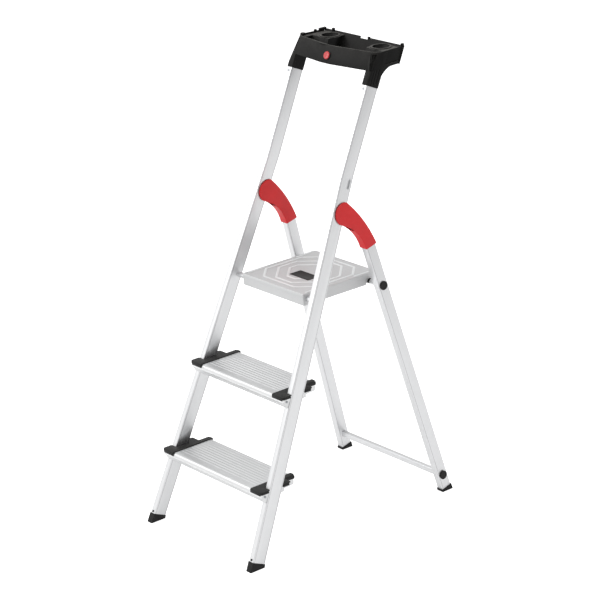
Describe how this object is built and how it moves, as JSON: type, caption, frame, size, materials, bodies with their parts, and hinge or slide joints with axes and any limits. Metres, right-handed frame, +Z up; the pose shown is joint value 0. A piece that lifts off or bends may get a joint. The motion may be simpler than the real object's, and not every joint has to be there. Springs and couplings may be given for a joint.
{
  "type": "step stool",
  "caption": "Folding aluminium step stool with deep treads, a standing platform, red knuckle covers and a tool tray on the safety rail.",
  "frame": {"origin": "on the floor, in the middle of the footprint of the open stool", "axes": "+X to the right of a person climbing it, +Y from the climbing side to the rear frame, +Z up"},
  "size_m": [0.4372, 0.7098, 1.237],
  "materials": {
    "bare_aluminium": "satin extruded",
    "black_plastic": "fine moulded texture",
    "foot_rubber": "matt",
    "red_plastic": "semi-gloss moulded",
    "zinc_steel": "zinc plated"
  },
  "bodies": {
    "front_frame": {"front_stile_left": "bare_aluminium", "front_stile_right": "bare_aluminium", "front_foot_left": "foot_rubber", "front_foot_right": "foot_rubber", "lower_step_cap_left": "black_plastic", "lower_step_cap_right": "black_plastic", "upper_step_cap_left": "black_plastic", "upper_step_cap_right": "black_plastic", "hinge_spacer_left": "bare_aluminium", "hinge_spacer_right": "bare_aluminium", "pivot_pin_left": "zinc_steel", "pivot_pin_right": "zinc_steel", "pivot_bush_left": "zinc_steel", "pivot_bush_right": "zinc_steel", "lower_step": "bare_aluminium", "upper_step": "bare_aluminium", "step_screws": "zinc_steel", "tool_tray": "black_plastic", "tray_badge": "red_plastic", "tray_rivets": "zinc_steel", "hinge_rod": "zinc_steel"},
    "rear_frame": {"rear_leg_left": "bare_aluminium", "rear_leg_right": "bare_aluminium", "rear_crossbar": "bare_aluminium", "rest_spacer_left": "bare_aluminium", "rest_spacer_right": "bare_aluminium", "rest_bush_left": "black_plastic", "rest_bush_right": "black_plastic", "crossbar_bolt_caps": "black_plastic", "rest_bolt_caps": "black_plastic", "rear_foot_left": "foot_rubber", "rear_foot_right": "foot_rubber", "knuckle_cover_left": "red_plastic", "knuckle_cover_right": "red_plastic", "crossbar_bolts": "zinc_steel", "knuckle_rivets": "zinc_steel", "rest_bolt_left": "zinc_steel", "rest_bolt_right": "zinc_steel", "link_plate_outer_left": "zinc_steel", "link_plate_outer_right": "zinc_steel", "link_plate_inner_left": "zinc_steel", "link_plate_inner_right": "zinc_steel"},
    "platform": {"platform_deck": "bare_aluminium", "platform_plate": "black_plastic", "platform_hinge_tube": "bare_aluminium", "platform_side_rail_left": "bare_aluminium", "platform_side_rail_right": "bare_aluminium"}
  },
  "joints": [
    {"name": "rear_frame_fold", "type": "hinge", "parent": "front_frame", "child": "rear_frame", "pos_m": [0, 0.0457, 0.8458], "axis": [-1, 0, 0], "range_deg": [0, 38.97]},
    {"name": "platform_lift", "type": "hinge", "parent": "front_frame", "child": "platform", "pos_m": [0, -0.046, 0.632], "axis": [1, 0, 0], "range_deg": [0, 66.34]}
  ],
  "couplings": [
    {"joint": "platform_lift", "follows": "rear_frame_fold", "ratio": 1.702}
  ]
}
